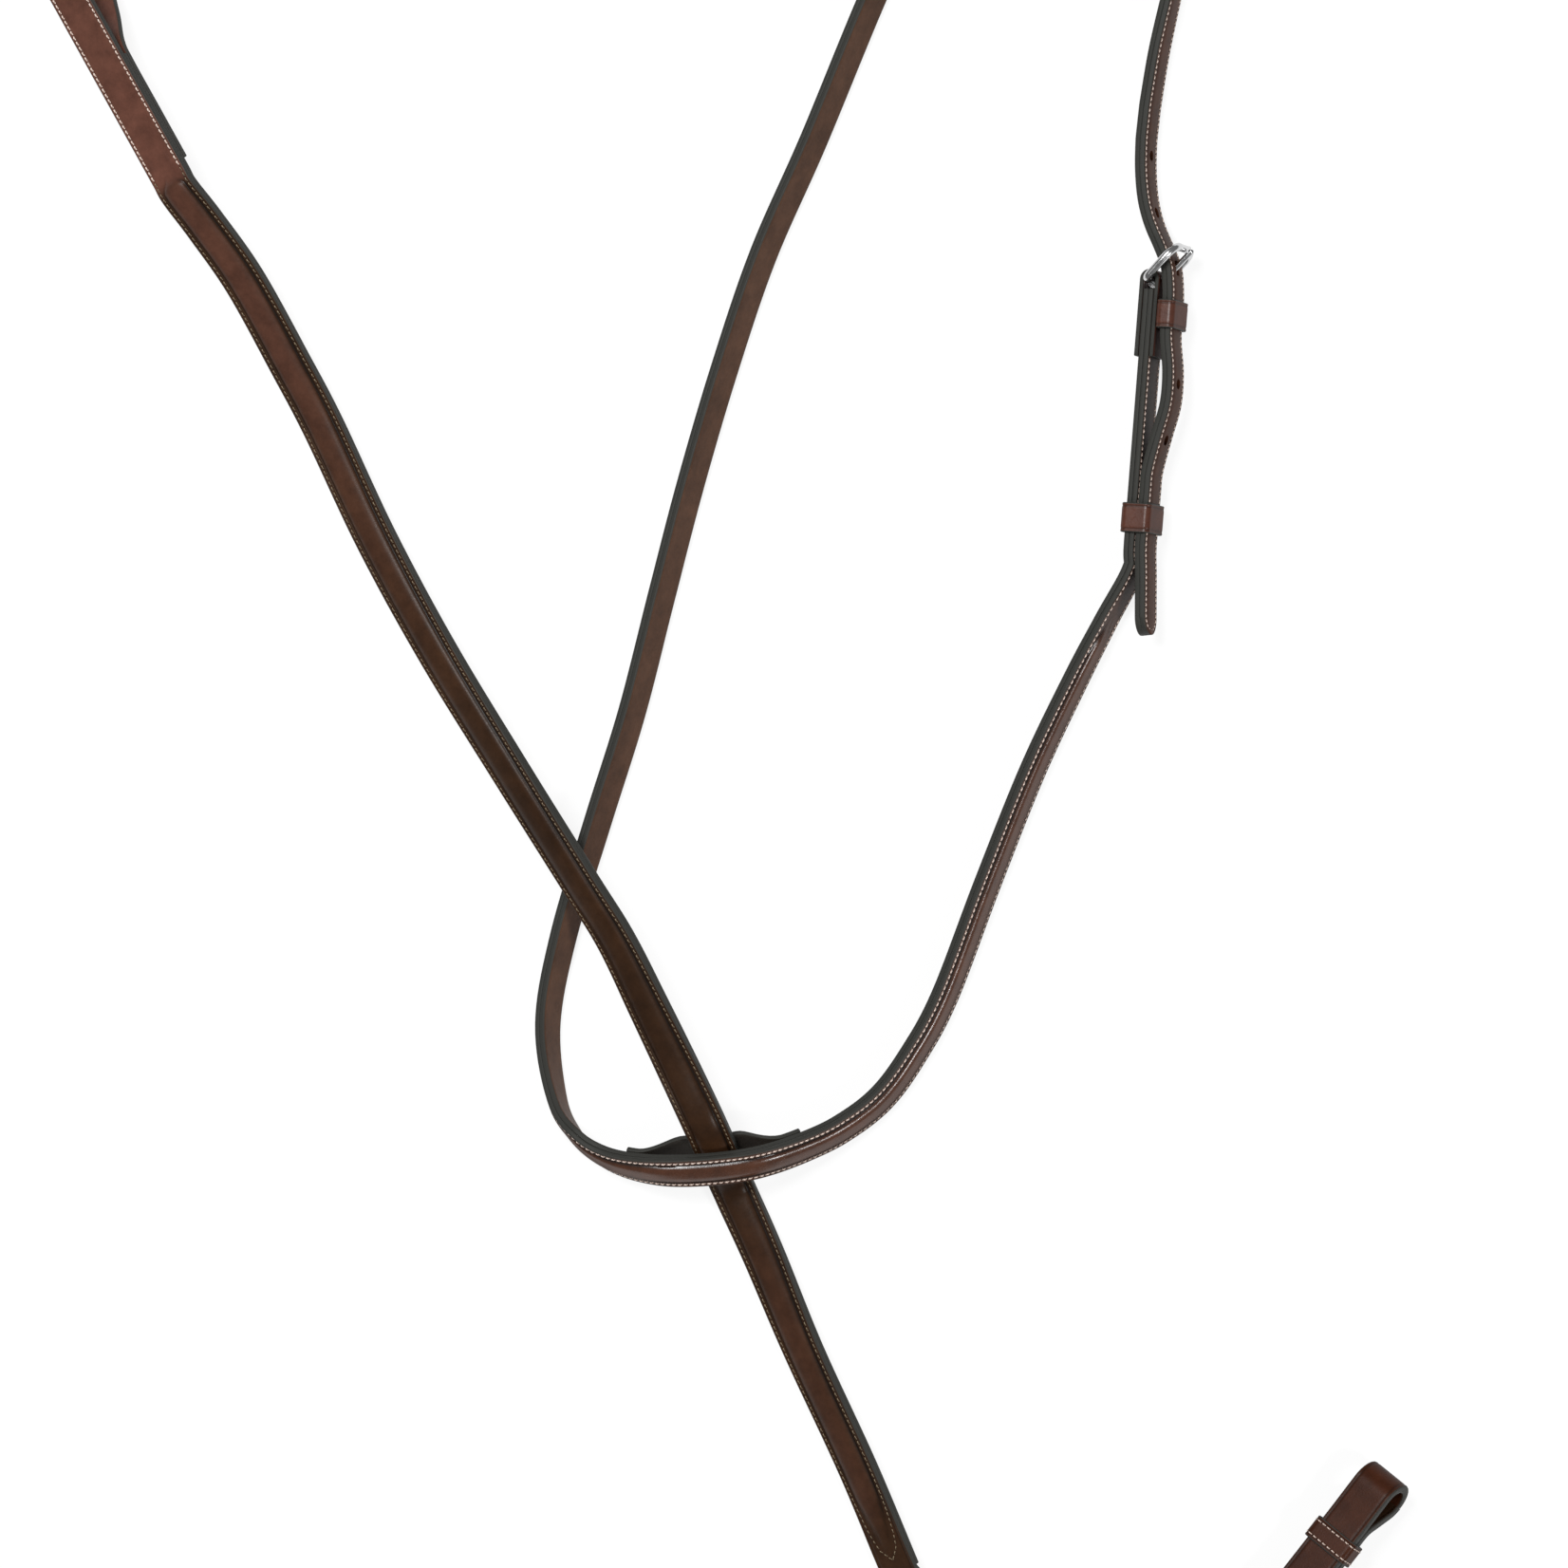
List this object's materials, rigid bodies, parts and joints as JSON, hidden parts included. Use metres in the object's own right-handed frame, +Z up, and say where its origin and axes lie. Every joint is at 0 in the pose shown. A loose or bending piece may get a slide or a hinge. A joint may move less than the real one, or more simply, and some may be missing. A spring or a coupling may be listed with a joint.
{
  "type": "standing martingale",
  "caption": "Raised leather standing martingale for horse riding: buckled neck strap with a tunnel, and a strap sliding through it between a noseband loop and a girth loop.",
  "frame": {"origin": "on the table, under the middle of the laid-out object's box", "axes": "+Z up from the table; +Y along the layout's length, from the girth end to the top of the neck loop; +X to the right of it"},
  "size_m": [0.6206, 0.9065, 0.0356],
  "materials": {
    "strap_leather": "satin, waxed grain, painted edges",
    "lining_leather": "matt, smooth",
    "core_leather": "raw",
    "girth_leather": "satin, waxed grain",
    "keeper_leather": "satin",
    "stitch_thread": "waxed, twisted",
    "buckle_metal": "polished"
  },
  "bodies": {
    "neck_strap": {"neck_face": "strap_leather", "neck_core": "core_leather", "neck_lining": "lining_leather", "neck_tunnel": "lining_leather", "neck_billet": "strap_leather", "neck_chape": "strap_leather", "neck_keeper": "keeper_leather"},
    "sliding_strap": {"body_face": "strap_leather", "body_core": "core_leather", "body_lining": "lining_leather", "noseband_loop": "strap_leather", "girth_strap": "girth_leather", "girth_billet": "girth_leather", "girth_loop": "girth_leather", "girth_chape": "girth_leather", "girth_keeper": "keeper_leather"},
    "neck_runner": {"neck_runner": "keeper_leather"},
    "neck_frame": {"neck_frame": "buckle_metal"},
    "neck_tongue": {"neck_tongue": "buckle_metal"},
    "girth_runner": {"girth_runner": "keeper_leather"},
    "girth_frame": {"girth_frame": "buckle_metal"},
    "girth_tongue": {"girth_tongue": "buckle_metal"}
  },
  "joints": [
    {"name": "strap_slide", "type": "slide", "parent": "neck_strap", "child": "sliding_strap", "axis": [0.3349, -0.789, -0.515], "range_m": [-0.01, 0.003]},
    {"name": "neck_runner_slide", "type": "slide", "parent": "neck_strap", "child": "neck_runner", "axis": [-0.0785, -0.9969, 0], "range_m": [-0.006, 0.006]},
    {"name": "neck_frame_swing", "type": "hinge", "parent": "neck_strap", "child": "neck_frame", "pos_m": [0.1987, 0.213, 0.01344], "axis": [0.4055, -0.0319, -0.9135], "range_deg": [-4, 4]},
    {"name": "neck_tongue_lift", "type": "hinge", "parent": "neck_frame", "child": "neck_tongue", "pos_m": [0.1987, 0.213, 0.01344], "axis": [0.4055, -0.0319, -0.9135], "range_deg": [0, 6]},
    {"name": "girth_runner_slide", "type": "slide", "parent": "sliding_strap", "child": "girth_runner", "axis": [0.6157, 0.788, 0], "range_m": [-0.006, 0.006]},
    {"name": "girth_frame_swing", "type": "hinge", "parent": "sliding_strap", "child": "girth_frame", "pos_m": [0.1922, -0.438, 0.0084], "axis": [0, -1, 0], "range_deg": [-4, 4]},
    {"name": "girth_tongue_lift", "type": "hinge", "parent": "girth_frame", "child": "girth_tongue", "pos_m": [0.1922, -0.438, 0.0084], "axis": [0, -1, 0], "range_deg": [0, 6]}
  ]
}
